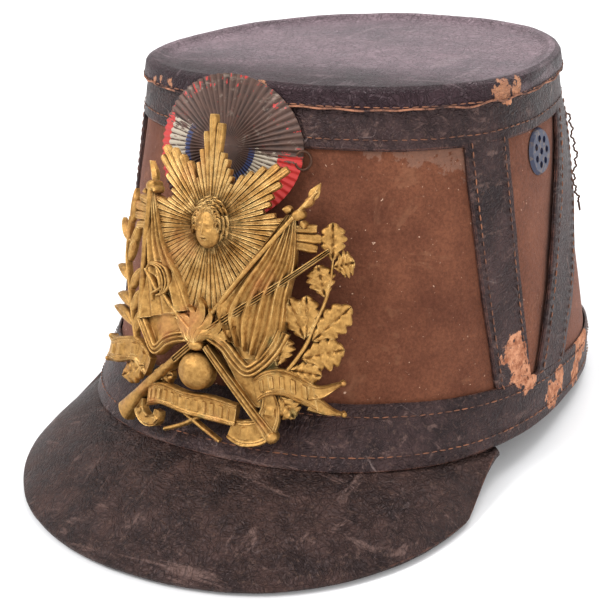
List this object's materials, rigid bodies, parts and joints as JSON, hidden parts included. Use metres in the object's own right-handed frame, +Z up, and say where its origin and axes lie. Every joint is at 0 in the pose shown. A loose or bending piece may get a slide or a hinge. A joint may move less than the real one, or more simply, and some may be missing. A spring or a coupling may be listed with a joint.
{
  "type": "shako hat",
  "caption": "Low tapered felt shako bound in black leather, with a drooping peak, pleated metal cockade, stamped brass trophy plate and V-shaped side straps.",
  "frame": {"origin": "bottom centre of the bounding box, on the surface that the hat rests on", "axes": "+Z up; the peak and plate face -Y; +X is the wearer's left. The hat's own axis leans back by 5 degrees, because it rests on its peak's lip and the rear of its bottom band"},
  "size_m": [0.1752, 0.2506, 0.1346],
  "materials": {
    "felt": "matt brown felt, rubbed pale at edges",
    "leather": "near-black brown, satin, scratched",
    "top_leather": "grey-brown, wrinkled, slight sheen",
    "brass": "warm, stamped, darker in recesses",
    "cockade_metal": "worn dark paint on pleated sheet",
    "vent_paint": "blue-grey paint, chipped",
    "iron": "dark iron wire"
  },
  "bodies": {
    "root": {"crown_shell": "felt", "crown_top": "top_leather", "top_band": "leather", "bottom_band": "leather", "peak": "leather", "strap_left_front": "leather", "strap_left_rear": "leather", "strap_right_front": "leather", "strap_right_rear": "leather", "vent_left": "vent_paint", "vent_right": "vent_paint", "cockade": "cockade_metal", "trophy_plate": "brass", "wire_eye": "iron", "cockade_hook": "iron"}
  },
  "joints": []
}
